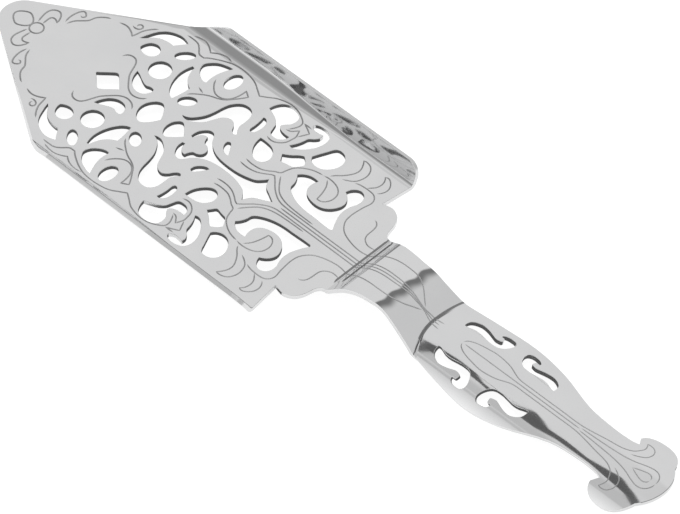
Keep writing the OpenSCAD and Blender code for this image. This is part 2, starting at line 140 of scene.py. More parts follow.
# Engraved lines on the side above the middle line, each with its twin below it.
# Points are in mm behind the pattern's centre and off the middle line; a third number marks a sharp corner.
LINES = [
    # Side petal of the fleur-de-lis at the tip
    [(-30.8, 1.3), (-31.2, 2.7), (-31.4, 4.1), (-31.1, 5.1), (-30.5, 5.6), (-29.8, 5.8), (-29.1, 5.5),
     (-28.5, 4.7), (-28.1, 3.5, 1), (-28.8, 3.9), (-29.5, 3.9), (-29.9, 3.4), (-29.9, 2.5), (-29.8, 1.4)],
    # Curl and wave along the nose edge
    [(-27.2, 4.7), (-27.5, 6.2), (-27.4, 7.5), (-27, 8.6), (-26.5, 9), (-25.8, 8.7), (-25.5, 8.2),
     (-25.9, 7.7), (-26.4, 7.9)],
    [(-26.7, 4.5), (-26.2, 6), (-25.2, 7.1), (-24.4, 8), (-24, 9.3), (-23.3, 10.2), (-22.4, 10.9),
     (-21.7, 11.2)],
    # Bracket round the long crescent, with its small curl
    [(-20.1, 11.5), (-18.5, 11.9), (-17.2, 11.6), (-15.9, 10.8, 1), (-15.7, 11.6), (-15.4, 13),
     (-14.6, 14.4), (-13.6, 15.4)],
    [(-17.8, 12.8), (-17, 12.6), (-16.2, 12.9), (-16, 13.6), (-16.5, 14), (-17.1, 13.6), (-16.9, 13)],
    # Outer and inner wave along the fold
    [(-7.8, 18.7), (-6.5, 19.1), (-5, 19.2), (-4, 18.8), (-2.7, 17.9, 1), (-2, 18.4), (-1, 18.9),
     (0.5, 19.2), (1.9, 18.8)],
    [(-8.9, 18), (-7.5, 18.1), (-6, 17.9), (-5, 17.2), (-4.2, 16.4), (-3.7, 16.1, 1), (-2.7, 16.1, 1),
     (-2, 16.7), (-0.5, 17.6), (1, 18.3), (2.5, 18.8), (4.5, 19), (6.5, 18.8), (8.3, 18.3), (9.8, 17.4),
     (11.25, 16.5, 1), (12.5, 17.3), (14, 18.3), (16, 18.9), (17.5, 19), (19, 18.7), (20.5, 18),
     (21.5, 17.2), (21.6, 16.2), (21.2, 15.2), (20.6, 14.3)],
    # Leaf between the two hooks
    [(19.1, 10.6), (20.5, 10.3), (21.7, 10.8), (22.6, 11.8), (22.9, 13), (23, 14), (22.7, 14.8),
     (22.4, 15.5, 1), (21.9, 14.9), (21.3, 14.3), (20.3, 14.1)],
    [(21.7, 17.4), (22.7, 17), (24.2, 16.2, 1), (23.5, 14.8), (23.1, 14)],
    [(21.7, 17.4), (23.8, 17.3)],
    # Tendril between the diamond and the small crescent
    [(-13.6, 6), (-13, 7), (-12, 7.35), (-11, 7.1), (-10.3, 6.2), (-9.8, 5), (-9.2, 3.7), (-8.2, 2.5),
     (-7, 1.3), (-6, 0.75), (-5.1, 0.6), (-4, 0.85), (-3.2, 1.4), (-2.8, 2)],
    # Scroll round its eye
    [(1.5, 7.5), (2.2, 8.4), (3.2, 9.2), (4.2, 9.9), (5.2, 10.4), (6.3, 10.8), (7.5, 11.5), (8.5, 12.7),
     (9.4, 13.9), (10, 14.9, 1), (8.7, 15.7, 1), (8.6, 14), (8.1, 12.5), (7.1, 11.5), (6, 11.2), (5, 11.4),
     (4, 12.1), (3.2, 13), (2.7, 14)],
    [(1.8, 10.4), (3.6, 9.8)],
    # Branches of the stem
    [(20.3, 4.1), (21.5, 3.9), (22.5, 3.9), (24, 4.1), (25.2, 4.7), (26.3, 5.5), (27.2, 6), (27.5, 7),
     (28, 8.3), (28.8, 9.2), (30, 10), (31.2, 10.5), (33, 10.8)],
    [(20, 2.9), (21, 2.75), (22.5, 2.75), (24, 3.1), (25.3, 3.8), (26.3, 4.5), (26.9, 4.7, 1), (27.8, 3.9),
     (29, 2.7), (30.2, 1.8), (31.5, 1.1), (33, 0.75), (38, 0.7), (45, 0.7), (54, 0.7), (62, 0.6), (66, 0.3),
     (68.2, 0.15), (70, 0.5), (72.5, 0.8)],
    [(27.7, 5.5), (29, 3.8), (30.3, 2.5), (31.5, 1.9), (33, 1.5), (35, 1.3), (40, 1.2)],
    # Lobe inside the great scroll
    [(34.2, 10.6), (35.2, 9.4), (35.7, 8.2), (36, 7), (36.15, 6.05, 1), (37, 6.1), (37.7, 6.6), (38.2, 7.6),
     (38.2, 8.8), (37.8, 9.7), (37, 10.4), (36, 10.8), (34.5, 11), (33, 10.8)],
    # Two crescents in the rear corner
    [(34, 11.4), (34.5, 12.2), (35.5, 13.2), (36.3, 14.3), (36.8, 15.4), (36.8, 16.5), (36.3, 17.6),
     (35.7, 18.4, 1), (36.4, 18.5), (37.5, 18.2), (38.3, 17.4), (38.7, 16.2), (38.6, 15), (38.2, 14),
     (37.5, 13.3), (36, 12.5)],
    [(40.6, 14), (41.2, 14.6), (41.8, 15.4), (42, 16.4), (41.8, 17.4), (41.2, 18.2, 1), (41.9, 18.4),
     (42.8, 17.9), (43.5, 17), (43.7, 16), (43.4, 15), (42.8, 14.3)],
    # Long line round the lobe of the root
    [(38.2, 13.4), (39.5, 13.8), (41.5, 13.9), (42.7, 13.7), (43.5, 13), (43.8, 12), (43.5, 10.5), (43.3, 9),
     (43.2, 7.5), (43.4, 6), (44, 4.9), (45, 3.9), (46.5, 3.2), (48.5, 2.7), (50.3, 2.55), (52, 2.8),
     (55, 3.2), (58, 3.5), (61, 3.6), (63.5, 3.4), (65.5, 2.6), (67, 1.4), (68.2, 0.4)],
    # Tendril on the lobe of the root
    [(46.9, 9.6), (47.6, 9.4), (48.2, 8.7), (48.4, 7.5), (48.5, 6), (49, 5.1), (50, 4.5), (50.7, 4.4),
     (52, 4.6)],
    # Lens on the grip, which runs on as a stem to the finial's outer leaves
    [(77.5, 0.1), (78, 0.9), (79.5, 1.6), (82, 2.1), (84, 2.3), (87, 1.9), (90, 0.85), (93, 0.75),
     (100, 0.75), (105, 0.8), (110, 1.6), (113, 2.1), (114.6, 2.9), (115.3, 3.9), (115.6, 4.9), (115, 6.2, 1),
     (116.4, 6.2), (117.3, 5.3), (117.4, 4.1), (116.9, 3.2), (114.8, 2)],
    # Leaf round the drop of the finial
    [(105, 0.3), (110, 0.5), (114, 0.8), (116.5, 1.3), (118.5, 2), (120, 2.35), (121.2, 2.1), (122, 1.2),
     (122.2, 0)],
    [(117, 0), (118.5, 0.6), (120, 1), (120.8, 0.7), (121, 0)],
]

# Engraved lines on the middle line
MIDDLE_LINES = [
    [(33, 0), (40, 0), (52, 0), (62, 0), (68.2, 0), (72, 0)],
    [(78, 0), (84, 0), (92, 0), (105, 0)],
]

# Lines on both sides of the crease, cut as shallow grooves and coloured with painted shade for the crease's
# shading: place, half width, and the ends across the sheet
CREASE_SHADE_LINES = [(52.0, 0.24, -5.8, 7.9), (53.5, 0.3, -5.4, 7.6)]

# Painted shade along the crease at the foot of the bridge: half width, and the ends across the sheet
FOOT_SHADE = (0.2, -4.5, 7)

# Centre petal of the fleur-de-lis, and its ring
PETAL = [(-35.5, 0), (-34.6, 1.3), (-33, 1.8), (-31.2, 0)]
RING = (-29.8, 0, 1.35)


# Curves through drawn points
def heading(points, i):
    """Direction of the curve at a point that isn't a corner."""
    after = points[(i + 1) % len(points)]
    before = points[i - 1]
    way = np.subtract(after[:2], before[:2])
    return way / np.linalg.norm(way)


def is_sharp(points, i, closed):
    """Whether the curve has a corner or an end at a point."""
    return len(points[i]) > 2 or (not closed and i in (0, len(points) - 1))


def direction(points, i, j, chord, closed):
    """Direction of the curve at point i, on the stretch between points i and j."""
    if not is_sharp(points, i, closed):
        return heading(points, i)
    if is_sharp(points, j, closed):
        return chord
    way = heading(points, j)
    return 2 * way.dot(chord) * chord - way


def curve(points, step, closed=False):
    """Smooth curve through points, sampled about every step."""
    out = []
    count = len(points) if closed else len(points) - 1
    for i in range(count):
        j = (i + 1) % len(points)
        a = np.array(points[i][:2], float)
        b = np.array(points[j][:2], float)
        reach = np.linalg.norm(b - a)
        chord = (b - a) / reach
        leave = reach * direction(points, i, j, chord, closed)
        arrive = reach * direction(points, j, i, chord, closed)
        steps = max(2, math.ceil(reach / step))
        for k in range(steps):
            u = k / steps
            w = 1 - u
            p = w * w * (1 + 2 * u) * a + u * w * w * leave
            p = p + u * u * (1 + 2 * w) * b - u * u * w * arrive
            out.append(p)
    out.append(out[0] if closed else np.array(points[-1][:2], float))
    return np.array(out)


def unit_rows(rows):
    """Rows scaled to unit length."""
    return rows / np.maximum(np.linalg.norm(rows, axis=1), 1e-12)[:, None]


# Shape of the sheet: every point of it has a place (x, v) on the unfolded sheet
def bend_places():
    """Places along the upper face of the neck, seen from the side: x, z and slope.

    The last place is far behind, on the rear slope as it would run on.
    """
    bend_step = 0.12
    far_x = 400
    corners = [(root_x, 0, 0), (crease_x, 0, crease_r)]
    corners += [(bridge_front_x, bridge_h, bridge_front_r), (bridge_rear_x, bridge_h, bridge_rear_r)]
    corners.append((bridge_rear_x + bridge_h / math.tan(fall), 0, 0))
    slopes = [
        math.atan2(b[1] - a[1], b[0] - a[0])
        for a, b in zip(corners, corners[1:])
    ]
    places = [(0, 0, 0), (root_x, 0, 0)]
    for (x, z, r), before, after in zip(corners[1:-1], slopes, slopes[1:]):
        side = math.copysign(1, after - before)
        reach = r * math.tan(abs(after - before) / 2)
        start = np.array([x - reach * math.cos(before), z - reach * math.sin(before)])
        centre = start + side * r * np.array([-math.sin(before), math.cos(before)])
        steps = max(8, math.ceil(abs(after - before) * r / bend_step))
        for k in range(steps + 1):
            turned = before + (after - before) * k / steps
            on = centre + side * r * np.array([math.sin(turned), -math.cos(turned)])
            places.append((on[0], on[1], turned))
    last_x, last_z, _ = places[-1]
    places.append((far_x, last_z - (far_x - last_x) * math.tan(fall), -fall))
    return np.array(places)


PLACES = bend_places()
slope_x = PLACES[-2, 0]
handle_x = slope_x + PLACES[-2, 1] / math.tan(fall)


def skewed(x, v):
    """Place along the neck's line at a place of the sheet, and how that changes across the sheet."""
    share = np.interp(x, [bridge_front_x, bridge_rear_x, handle_x], [0, 1, 0])
    return x - skew * (v - skew_from) * share, -skew * share


def ripple(x, v):
    """Tilt of the face along x that the press left in the rear bend."""
    near = np.maximum(1 - np.abs(x - bridge_rear_x) / ripple_reach, 0)
    return ripple_tilt * near * np.sin(2 * math.pi * v / ripple_length)


def arch_z(v):
    """Height of the arch off the middle line, below its crown."""
    return np.sqrt(np.maximum(arch_r * arch_r - v * v, 1)) - arch_r


def arch_share(x, v):
    """Share of the arch's height: all of it on the right side, and a growing one on the left."""
    grown = 1 - (1 - left_start) * np.exp(-np.maximum(x - handle_x, 0) / left_growth)
    return np.where(v > 0, grown, 1)


def foot_at(v):
    """Where the rear slope of the bridge meets the arch of the handle."""
    return handle_x - np.where(v > 0, left_start, 1) * arch_z(v) / math.tan(fall)


def fold_at(x, side):
    """Turn and radius of the fold at x, the y where it begins, and the stretch of the sheet beyond that."""
    u = np.clip((x - fold_front_x) / (fold_rear_x - fold_front_x), 0, 1)
    r = fold_front_r + (fold_rear_r - fold_front_r) * u * u * (3 - 2 * u)
    turn = np.where(side > 0, left_turn, right_turn)
    tangent = r * np.tan(turn / 2)
    stretch = (wall_reach - tangent + r * turn) / (sheet_reach + tangent)
    return turn, r, corner_y - tangent, stretch


def along_middle(x, v):
    """Upper points and normals of the plate, the bridge, its foot and the arch."""
    well_below = 9
    on_line, lean = skewed(x, v)
    line_z = np.interp(on_line, PLACES[:, 0], PLACES[:, 1])
    slope = np.tan(np.interp(on_line, PLACES[:, 0], PLACES[:, 2]))
    behind = x > slope_x
    grown = arch_share(x, v)
    arched = np.where(behind, grown * arch_z(v), line_z - well_below)

    # The crease where the neck's line and the arch meet is eased
    apart = line_z - arched
    ease = np.maximum(1 - np.abs(apart) / foot_ease, 0)
    share = np.where(apart > 0, ease / 2, 1 - ease / 2)
    z = np.maximum(line_z, arched) + ease * ease * foot_ease / 4
    growth = np.where(behind & (x > handle_x), (1 - grown) / left_growth, 0)
    fall_x = (1 - share) * slope + share * growth * arch_z(v)
    fall_v = (1 - share) * slope * lean - share * grown * v / (arch_z(v) + arch_r)
    normal = np.stack([ripple(x, v) - fall_x, -fall_v, np.ones_like(x)], 1)
    return np.stack([x, v, z], 1), unit_rows(normal)


def round_folds(x, v):
    """Upper points and normals of the walls, round their folds, and whether each place is on a wall."""
    side = np.sign(v)
    full_turn, fold_r, fold_y, stretch = fold_at(x, side)
    s = (np.abs(v) - fold_y) * stretch
    turn = np.clip(s / fold_r, 0, full_turn)
    beyond = np.maximum(s - fold_r * full_turn, 0)
    y = fold_y + fold_r * np.sin(turn) + beyond * np.cos(full_turn)
    z = fold_r * (1 - np.cos(turn)) + beyond * np.sin(full_turn)
    normal = np.stack([np.zeros_like(x), -side * np.sin(turn), np.cos(turn)], 1)
    on_wall = (s > 0) & (x < blade_l + rear_margin)
    return np.stack([x, side * y, z], 1), normal, on_wall[:, None]


def on_sheet(q):
    """Upper points, normals and lower points of the sheet at places q."""
    x, v = q[:, 0], q[:, 1]
    upper, normal = along_middle(x, v)
    wall_upper, wall_normal, on_wall = round_folds(x, v)
    upper = np.where(on_wall, wall_upper, upper)
    normal = np.where(on_wall, wall_normal, normal)
    return upper, normal, upper - sheet_t * normal


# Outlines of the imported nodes, laid out on the unfolded sheet
def outer_edges(mesh, weld, lean):
    """The points that follow each point along the edges of the faces that face a way."""
    facing = 0.7
    after = {}
    for face in mesh.polygons:
        if face.normal.dot(lean) < facing:
            continue
        ids = [weld[i] for i in face.vertices]
        for a, b in zip(ids, ids[1:] + ids[:1]):
            if a == b:
                continue
            if a in after.get(b, ()):
                after[b].remove(a)
            else:
                after.setdefault(a, []).append(b)
    return after


def chained(after):
    """Closed loops of points, from the points that follow each point."""
    loops = []
    while any(after.values()):
        start = next(a for a in after if after[a])
        ids = [start]
        while after[ids[-1]]:
            ids.append(after[ids[-1]].pop())
            if ids[-1] == start:
                break
        loops.append(ids[:-1])
    return loops


def upper_loops(node):
    """Closed outlines of a node's upper face, on the unfolded sheet."""
    steps_per_mm = 1000
    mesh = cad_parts[node].data
    co = np.empty(len(mesh.vertices) * 3)
    mesh.vertices.foreach_get("co", co)
    co = (co.reshape(-1, 3) - tip) / MM
    _, first, weld = np.unique(np.round(co * steps_per_mm), axis=0, return_index=True, return_inverse=True)
    side = {"left_wall": 1, "right_wall": -1}.get(node, 0)
    half = cad_turn / 2
    lean = Vector((0, -side * math.sin(half), math.cos(half))) if side else Vector((0, 0, 1))
    after = outer_edges(mesh, weld.ravel(), lean)
    return [unfold(co[first[ids]], side) for ids in chained(after)]


def unfold(points, side):
    """Places on the unfolded sheet of points on the upper face."""
    if side == 0:
        return points[:, :2]
    y = side * points[:, 1] - flat_y
    z = points[:, 2]
    turn = np.clip(np.arctan2(y, cad_fold_r - z), 0, cad_turn)
    beyond = (y - cad_fold_r * math.sin(cad_turn)) * math.cos(cad_turn)
    beyond += (z - cad_fold_r * (1 - math.cos(cad_turn))) * math.sin(cad_turn)
    s = cad_fold_r * turn + np.maximum(beyond, 0)
    return np.stack([points[:, 0], side * (flat_y + s)], 1)


def turns(loop):
    """Angle by which a closed outline turns at each of its points."""
    before = loop - np.roll(loop, 1, 0)
    after = np.roll(loop, -1, 0) - loop
    cross = before[:, 0] * after[:, 1] - before[:, 1] * after[:, 0]
    return np.arctan2(cross, (before * after).sum(1))


def smoother(loop):
    """The outline with one more point in each step of its round stretches."""
    corner = 0.5
    jump = 2.5
    shortest, longest = 0.1, 1.2
    bent = np.abs(turns(loop))
    length = np.linalg.norm(np.roll(loop, -1, 0) - loop, axis=1)
    out = []
    count = len(loop)
    for i in range(count):
        a, b = loop[i], loop[(i + 1) % count]
        out.append(a)
        sharp_a = bent[i] > corner or length[i - 1] > jump * length[i]
        sharp_b = bent[(i + 1) % count] > corner or length[(i + 1) % count] > jump * length[i]
        before = 2 * a - b if sharp_a else loop[i - 1]
        behind = 2 * b - a if sharp_b else loop[(i + 2) % count]
        if shortest < length[i] < longest:
            out.append((9 * (a + b) - before - behind) / 16)
    return np.array(out)


def doubled_area(a, b, c):
    """Twice the area of triangles with corners a, b and c, negative if they run clockwise."""
    ab = b - a
    ac = c - a
    return ab[..., 0] * ac[..., 1] - ab[..., 1] * ac[..., 0]


def area(loop):
    """Area inside an outline, negative if it runs clockwise."""
    x, y = loop[:, 0], loop[:, 1]
    return 0.5 * np.sum(x * np.roll(y, -1) - y * np.roll(x, -1))


# Engraved lines as centre lines with their half widths
def cut_half(line):
    """Half widths along an engraved line."""
    return groove_half * np.interp(line[:, 0], groove_places, groove_shares)


def drawn_lines():
    """Centre lines of all engraved lines and of the painted shade lines beside the crease, whether they
    taper, and their half widths.
    """
    shade_line_points = 33
    ring_points = 8
    drawn = []
    for points in LINES:
        line = curve(points, line_step)
        drawn.append((line, True, cut_half(line)))
        drawn.append((line * [1, -1], True, cut_half(line)))
    for points in MIDDLE_LINES:
        line = curve(points, line_step)
        drawn.append((line, True, cut_half(line)))
    for x, half, start, end in CREASE_SHADE_LINES:
        drawn.append((np.array([(x, y) for y in np.linspace(start, end, shade_line_points)]), True, half))
    petal = PETAL + [(x, -y) for x, y in PETAL[-2:0:-1]]
    line = curve(petal, line_step, closed=True)
    drawn.append((line, False, cut_half(line)))
    x, y, r = RING
    angles = [k * 2 * math.pi / ring_points for k in range(ring_points)]
    circle = [(x + r * math.cos(angle), y + r * math.sin(angle)) for angle in angles]
    line = curve(circle, line_step, closed=True)
    drawn.append((line, False, cut_half(line)))
    return drawn


def engraved():
    """Centre lines of the engraving on the sheet, with their half widths, which taper to the ends."""
    lines = []
    for line, tapered, widest in drawn_lines():
        along = np.concatenate([[0], np.cumsum(np.linalg.norm(np.diff(line, axis=0), axis=1))])
        room = np.minimum(along, along[-1] - along) if tapered else along + groove_taper
        half = widest * np.clip(room / groove_taper, 0, 1)
        lines.append((line + [pattern_x, 0], half))
    return lines


GROOVES = engraved()


def groove_at(q):
    """Depth of the engraving at places q."""
    a = np.concatenate([line[:-1] for line, _ in GROOVES])
    b = np.concatenate([line[1:] for line, _ in GROOVES])
    wa = np.concatenate([half[:-1] for _, half in GROOVES])
    wb = np.concatenate([half[1:] for _, half in GROOVES])
    d = b - a
    size = np.maximum((d * d).sum(1), 1e-12)
    depth = np.zeros(len(q))
    batch = 1000
    for start in range(0, len(q), batch):
        p = q[start:start + batch, None, :] - a[None]
        t = np.clip((p * d).sum(2) / size, 0, 1)
        gap = np.linalg.norm(p - t[..., None] * d, axis=2)
        half = wa + (wb - wa) * t
        depth[start:start + batch] = ((half - gap) * groove_depth / groove_half).max(1)
    return np.maximum(depth, 0)


def in_painted_shade(q):
    """Whether places q lie in the painted shade beside the crease or along the foot of the bridge."""
    x, v = q[:, 0], q[:, 1]
    half, start, end = FOOT_SHADE
    inside = (np.abs(x - foot_at(v)) < half) & (v > start) & (v < end)
    for place, half, start, end in CREASE_SHADE_LINES:
        inside |= (np.abs(x - pattern_x - place) < half) & (v > start) & (v < end)
    return inside


# Net of triangles over the unfolded sheet
def welded(loop, points):
    """The outline, with its points moved onto earlier points that they should meet."""
    if not points:
        return loop
    known = np.array(points)
    out = loop.copy()
    for i, p in enumerate(loop):
        gap = np.linalg.norm(known - p, axis=1)
        if gap.min() < weld_gap:
            out[i] = known[gap.argmin()]
    return out


class Net:
    """Points, lines and outlines that the triangles have to follow."""

    def __init__(self):
        self.points = []
        self.edges = []
        self.faces = []
        self.owner = []

    def line(self, points):
        """Adds an open line."""
        base = len(self.points)
        self.points.extend(points)
        self.edges.extend((base + k, base + k + 1) for k in range(len(points) - 1))

    def face(self, loop, owner):
        """Adds a closed outline and what it belongs to."""
        base = len(self.points)
        self.points.extend(welded(loop, self.points))
        self.faces.append(list(range(base, base + len(loop))))
        self.owner.append(owner)


def add_outlines(net):
    """Adds the outlines of all nodes, and returns the outer one of each."""
    widest = {}
    for node in NODES:
        loops = upper_loops(node)
        outer = max(range(len(loops)), key=lambda k: abs(area(loops[k])))
        for k, loop in enumerate(loops):
            loop = smoother(loop)
            if area(loop) < 0:
                loop = loop[::-1]
            net.face(loop, (node, k == outer))
        widest[node] = loops[outer]
    return widest


def add_rows(net, widest):
    """Adds rows across the neck's bends, along the crease of its foot, over the arch and along the folds."""
    for x in PLACES[2:-1, 0]:
        net.line([(x, v) for v in neck_rows])
    for gap in foot_gaps:
        net.line(np.stack([foot_at(foot_rows) + gap, foot_rows], 1))
    start_x = foot_x - 2 * row_margin
    end_x = widest["finial"][:, 0].max() + row_margin
    for v in arch_rows:
        net.line([(start_x, v), (end_x, v)])
    wall_x = widest["left_wall"][:, 0].min() - row_margin
    along = np.linspace(wall_x, blade_l + rear_margin, fold_places)
    for side in (1, -1):
        turn, r, begin, stretch = fold_at(along, side)
        for k in range(fold_steps + 1):
            v = side * (begin + r * turn * k / fold_steps / stretch)
            net.line(np.stack([along, v], 1))


def add_grooves(net):
    """Adds the middle and the two edges of each engraved line."""
    for line, half in GROOVES:
        way = unit_rows(np.gradient(line, axis=0))
        off = np.stack([-way[:, 1], way[:, 0]], 1) * half[:, None]
        net.line(line)
        net.line(line + off)
        net.line(line - off)


def make_net():
    """Places of the net on the unfolded sheet, its triangles, and the node that each triangle belongs to."""
    smallest = 1e-9
    net = Net()
    widest = add_outlines(net)
    add_rows(net, widest)
    add_grooves(net)
    points, _, tris, _, _, inside = delaunay_2d_cdt(
        [Vector(p) for p in net.points], net.edges, net.faces, 0, net_gap, True
    )
    q = np.array([tuple(p) for p in points])
    kept, nodes = [], []
    for tri, ids in zip(tris, inside):
        owners = [net.owner[k] for k in ids]
        if not owners or any(not outer for _, outer in owners):
            continue
        if doubled_area(*q[tri]) < smallest:
            continue
        kept.append(tri)
        nodes.append(NODES.index(owners[0][0]))
    return q, np.array(kept), np.array(nodes)


def rim_edges(tris):
    """Directed edges with metal on one side only, with their triangles, and the triangle of every edge."""
    owner = {}
    for k, (a, b, c) in enumerate(tris):
        owner[(a, b)] = owner[(b, c)] = owner[(c, a)] = k
    rims = [(e, k) for e, k in owner.items() if (e[1], e[0]) not in owner]
    return rims, owner


def painted_rim_shade(node, place, out):
    """Whether a rim's upper edge gets painted shade, a dark line: on the right wall and round the finial's
    middle lobe.
    """
    least_out = 0.4
    if node == "finial":
        on_lobe = place[0] > lobe_from[0] and place[1] > lobe_from[1]
        return on_lobe and out[0] - out[1] > least_out
    return node == "right_wall"


# Steps round a rim, from the upper face to the lower one: the share of the rounding that is cut off the face,
# and the share of it that is below the upper face or, if negative, above the lower one.
# The normals begin and end with the faces, and give the shares that point outward and up.
RIM_STEPS = [(0.3, 0.3), (0, 1), (0, -1), (0.3, -0.3)]
RIM_NORMALS = [(0, 1), (0.7, 0.7), (1, 0), (1, 0), (0.7, -0.7), (0, -1)]
cut_strip = 2
# Material slots; the last is a dark steel that paints shade on the lines beside the crease, along the foot of
# the bridge and on some rims
POLISHED, ENGRAVED, CUT, PAINTED_SHADE = range(4)


def rim_directions(q, rims):
    """Outward directions of the rims: of edges, of points as far as the mitre goes, and of smooth points."""
    smooth = 0.94
    sharpest = 0.5
    edge_n = {}
    at = {}
    for (a, b), _ in rims:
        d = q[b] - q[a]
        m = np.array([d[1], -d[0]]) / np.linalg.norm(d)
        edge_n[(a, b)] = m
        at.setdefault(a, []).append(m)
        at.setdefault(b, []).append(m)
    mitre, smooth_n = {}, {}
    for i, ms in at.items():
        total = sum(ms)
        size = np.linalg.norm(total)
        mean = total / max(size, 1e-9)
        cos = size / len(ms)
        mitre[i] = mean / max(cos, sharpest)
        smooth_n[i] = mean if cos > smooth else None
    return edge_n, mitre, smooth_n


def stand_back(q, tris, mitre):
    """The net with the face's edge back from the rim, and the share of the rounding at each point of a rim.

    Where the net has no room for the whole rounding, the share is halved.
    """
    rounds = 6
    smallest = 1e-7
    back = {i: 1.0 for i in mitre}
    for _ in range(rounds):
        moved = q.copy()
        for i, share in back.items():
            moved[i] -= mitre[i] * rim_r * share
        size = doubled_area(*(moved[tris[:, k]] for k in range(3)))
        bad = set(tris[size <= smallest].ravel()) & set(back)
        if not bad:
            break
        for i in bad:
            back[i] /= 2
    return moved, back


def rim_rows(q, ids, mitre, back, depth):
    """Points on the steps round the rims: one row of them for each step."""
    out = np.array([mitre[i] for i in ids])
    share = np.array([back[i] for i in ids])[:, None]
    rows = []
    for cut, down in RIM_STEPS:
        p, _, low = on_sheet(q[ids] - out * rim_r * share * cut)
        t = np.linalg.norm(p - low, axis=1)
        from_top = down * rim_r / t if down > 0 else 1 + down * rim_r / t
        held = depth[ids] / t
        rows.append(p + (low - p) * (held + from_top * (1 - held))[:, None])
    return rows


class Sheet:
    """The dressed sheet: its net, its points, and the faces, normals and materials of each node's piece."""

    def __init__(self):
        self.q, self.tris, self.nodes = make_net()
        self.rims, self.owner = rim_edges(self.tris)
        self.edge_n, mitre, self.smooth_n = rim_directions(self.q, self.rims)
        moved, back = stand_back(self.q, self.tris, mitre)
        depth = groove_at(self.q)
        upper, self.normal, lower = on_sheet(moved)
        thick = np.linalg.norm(upper - lower, axis=1)
        top = upper + (lower - upper) * (depth / thick)[:, None]
        ids = sorted(mitre)
        self.count = len(self.q)
        self.number = {i: k for k, i in enumerate(ids)}
        self.verts = np.concatenate([top, lower] + rim_rows(self.q, np.array(ids), mitre, back, depth))
        self.pieces = {k: {"faces": [], "normals": [], "mats": []} for k in range(len(NODES))}

    def ring(self, i):
        """Points from the upper face to the lower one at a point of the net, round its rim if it has one."""
        if i not in self.number:
            return [i, self.count + i]
        first = 2 * self.count + self.number[i]
        return [i] + [first + k * len(self.number) for k in range(len(RIM_STEPS))] + [self.count + i]

    def add(self, piece, face, normals, material):
        """Adds a face to a piece."""
        data = self.pieces[piece]
        data["faces"].append(face)
        data["normals"].extend(normals)
        data["mats"].append(material)

    def flat(self, face):
        """Normal of a face as it lies."""
        p = self.verts[face]
        n = sum(np.cross(p[k] - p[0], p[k + 1] - p[0]) for k in range(1, len(p) - 1))
        return n / max(np.linalg.norm(n), 1e-15)

    def outward(self, i, m):
        """Outward direction and upper normal of the sheet at a point of a rim."""
        small = 0.01
        p, n, _ = on_sheet(np.array([self.q[i], self.q[i] - small * m]))
        d = p[0] - p[1]
        return d / np.linalg.norm(d), n[0]

    def add_faces(self):
        """Adds the upper and lower faces."""
        least_share = 0.1
        middles = self.q[self.tris].mean(1)
        cut_in = groove_at(middles) > least_share * groove_depth
        shade_painted = in_painted_shade(middles)
        for tri, node, cut_here, shade_here in zip(self.tris, self.nodes, cut_in, shade_painted):
            # Painted shade: dark steel on the lines beside the crease and along the foot of the bridge
            if shade_here:
                self.add(node, list(tri), self.normal[tri], PAINTED_SHADE)
            elif cut_here:
                self.add(node, list(tri), [self.flat(tri)] * 3, ENGRAVED)
            else:
                self.add(node, list(tri), self.normal[tri], POLISHED)
            under = [self.count + i for i in tri[::-1]]
            self.add(node, under, -self.normal[tri[::-1]], POLISHED)

    def add_rims(self):
        """Adds the strips round the rims: two of the upper rounding, the cut edge, two of the lower one."""
        for (a, b), k in self.rims:
            edge = self.edge_n[(a, b)]
            ends = []
            for i in (a, b):
                m = self.smooth_n[i] if self.smooth_n[i] is not None else edge
                d, n = self.outward(i, m)
                ends.append([u * d + w * n for u, w in RIM_NORMALS])
            ra, rb = self.ring(a), self.ring(b)
            dark = painted_rim_shade(NODES[self.nodes[k]], self.q[a], edge)
            for j in range(len(ra) - 1):
                face = [ra[j], ra[j + 1], rb[j + 1], rb[j]]
                normals = [ends[0][j], ends[0][j + 1], ends[1][j + 1], ends[1][j]]
                material = CUT if j == cut_strip else POLISHED
                # Painted shade: the upper rounding of these rims gets the dark steel as a dark line
                if dark and j < cut_strip:
                    material = PAINTED_SHADE
                self.add(self.nodes[k], face, normals, material)

    def add_joints(self):
        """Adds the faces where the pieces of two nodes meet."""
        for (a, b), k in self.owner.items():
            other = self.owner.get((b, a))
            if other is None or self.nodes[other] == self.nodes[k]:
                continue
            face = self.ring(a) + self.ring(b)[::-1]
            self.add(self.nodes[k], face, [self.flat(face)] * len(face), CUT)


# Materials
# Scales of the polishing marks, which are long along the spoon, and of the clouding, and the marks' height.
# Shares of the steel's grey where the clouding is darkest and lightest
mark_scale = (120, 2600, 2600)
mark_h = 0.00001
cloud_scale = 160
cloud_dark = (0.95, 0.955, 0.965)
cloud_light = (1.03, 1.03, 1.03)


def nodes_of(material):
    """Node tree of a new material, and its shader."""
    material.use_nodes = True
    tree = material.node_tree
    return tree, tree.nodes["Principled BSDF"]


